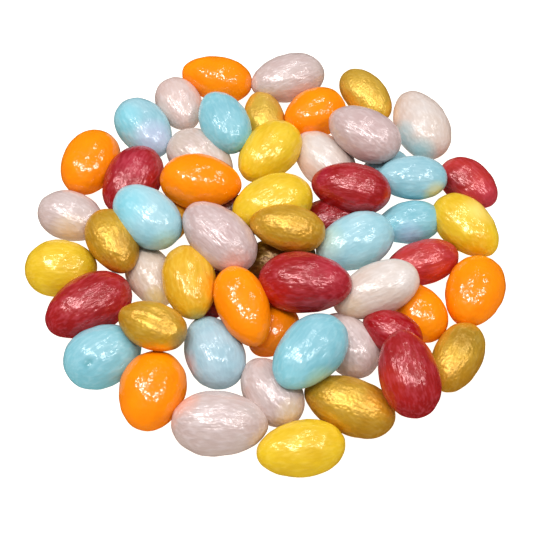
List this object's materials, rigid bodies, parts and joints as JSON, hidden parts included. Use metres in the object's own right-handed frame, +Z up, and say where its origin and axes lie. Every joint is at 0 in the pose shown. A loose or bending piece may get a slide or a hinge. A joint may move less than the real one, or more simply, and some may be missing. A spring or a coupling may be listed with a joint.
{
  "type": "heap of sugared almonds",
  "caption": "Loose heap of sugar-coated almonds in mixed bright and pearly colours, lying one to two deep on a flat surface.",
  "frame": {"origin": "middle of the heap's footprint, on the surface that it lies on", "axes": "+Z up, +X to the right and +Y to the back as the picture sees the heap"},
  "size_m": [0.164, 0.1774, 0.0258],
  "materials": {
    "almonds": "polished sugar shell in mixed colours",
    "orange": "glossy sugar shell",
    "yellow": "glossy sugar shell with a faint pearl sheen",
    "gold": "metallic gold sugar shell",
    "red": "crimson sugar shell with a pink pearl sheen",
    "blue": "satin pale blue sugar shell",
    "pearl": "pinkish pearl sugar shell",
    "white": "satin off-white sugar shell"
  },
  "bodies": {
    "root": {"almond_heap": "almonds"}
  },
  "joints": []
}
